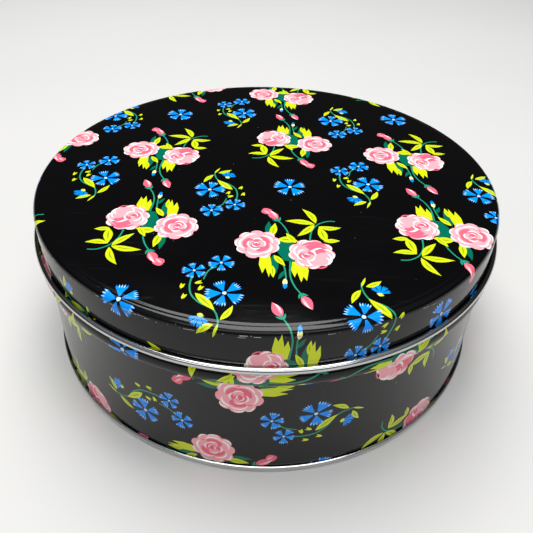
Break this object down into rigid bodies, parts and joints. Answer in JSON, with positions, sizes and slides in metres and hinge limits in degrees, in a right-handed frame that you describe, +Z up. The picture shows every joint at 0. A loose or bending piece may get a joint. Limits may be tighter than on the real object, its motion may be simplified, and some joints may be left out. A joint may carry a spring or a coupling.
{
  "type": "round printed tin with lid",
  "caption": "Round shallow tin of printed tinplate with a lift-off lid, a curled lid edge, a stop ridge round the body and a folded base bead.",
  "frame": {"origin": "centre of the ring that the tin stands on, at floor height", "axes": "+Z up along the tin's axis; -Y is the front, with the lock seam at the back on +Y; +X to the right"},
  "size_m": [0.2, 0.2, 0.072],
  "materials": {
    "printed_tinplate": "gloss black lithographed ground with roses, cornflowers and leaves, varnished",
    "bare_tinplate": "bare bright tinplate, lightly dulled"
  },
  "bodies": {
    "tin_body": {"body_wall": "printed_tinplate", "base_end": "bare_tinplate"},
    "lid_body": {"lid": "printed_tinplate"}
  },
  "joints": [
    {"name": "lid_lift", "type": "slide", "parent": "tin_body", "child": "lid_body", "axis": [0, 0, 1], "range_m": [0, 0.08]}
  ]
}
